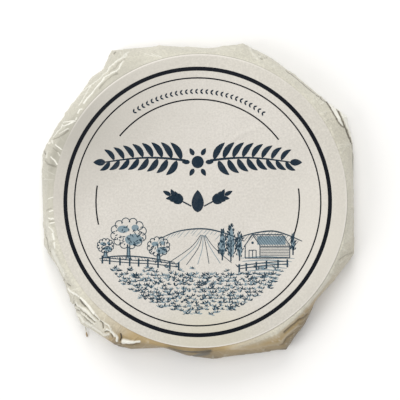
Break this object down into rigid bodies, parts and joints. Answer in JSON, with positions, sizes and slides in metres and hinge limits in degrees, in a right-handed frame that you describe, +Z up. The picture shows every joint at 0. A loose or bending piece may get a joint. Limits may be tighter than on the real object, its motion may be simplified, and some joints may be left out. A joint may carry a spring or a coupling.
{
  "type": "wrapped brie cheese",
  "caption": "Whole round brie cheese wrapped in pleated waxed paper, with a large round printed paper label on its top.",
  "frame": {"origin": "middle of the flat underside, on the surface that the cheese rests on", "axes": "+Z up through the cheese; +Y to the top edge of the label's print; +X to its right"},
  "size_m": [0.2061, 0.2082, 0.0317],
  "materials": {
    "waxed_paper": "white waxed paper, slightly glossy and crinkled",
    "label_paper": "matte off-white paper, printed in dark navy"
  },
  "bodies": {
    "root": {"wrapped_cheese": "waxed_paper", "label": "label_paper"}
  },
  "joints": []
}
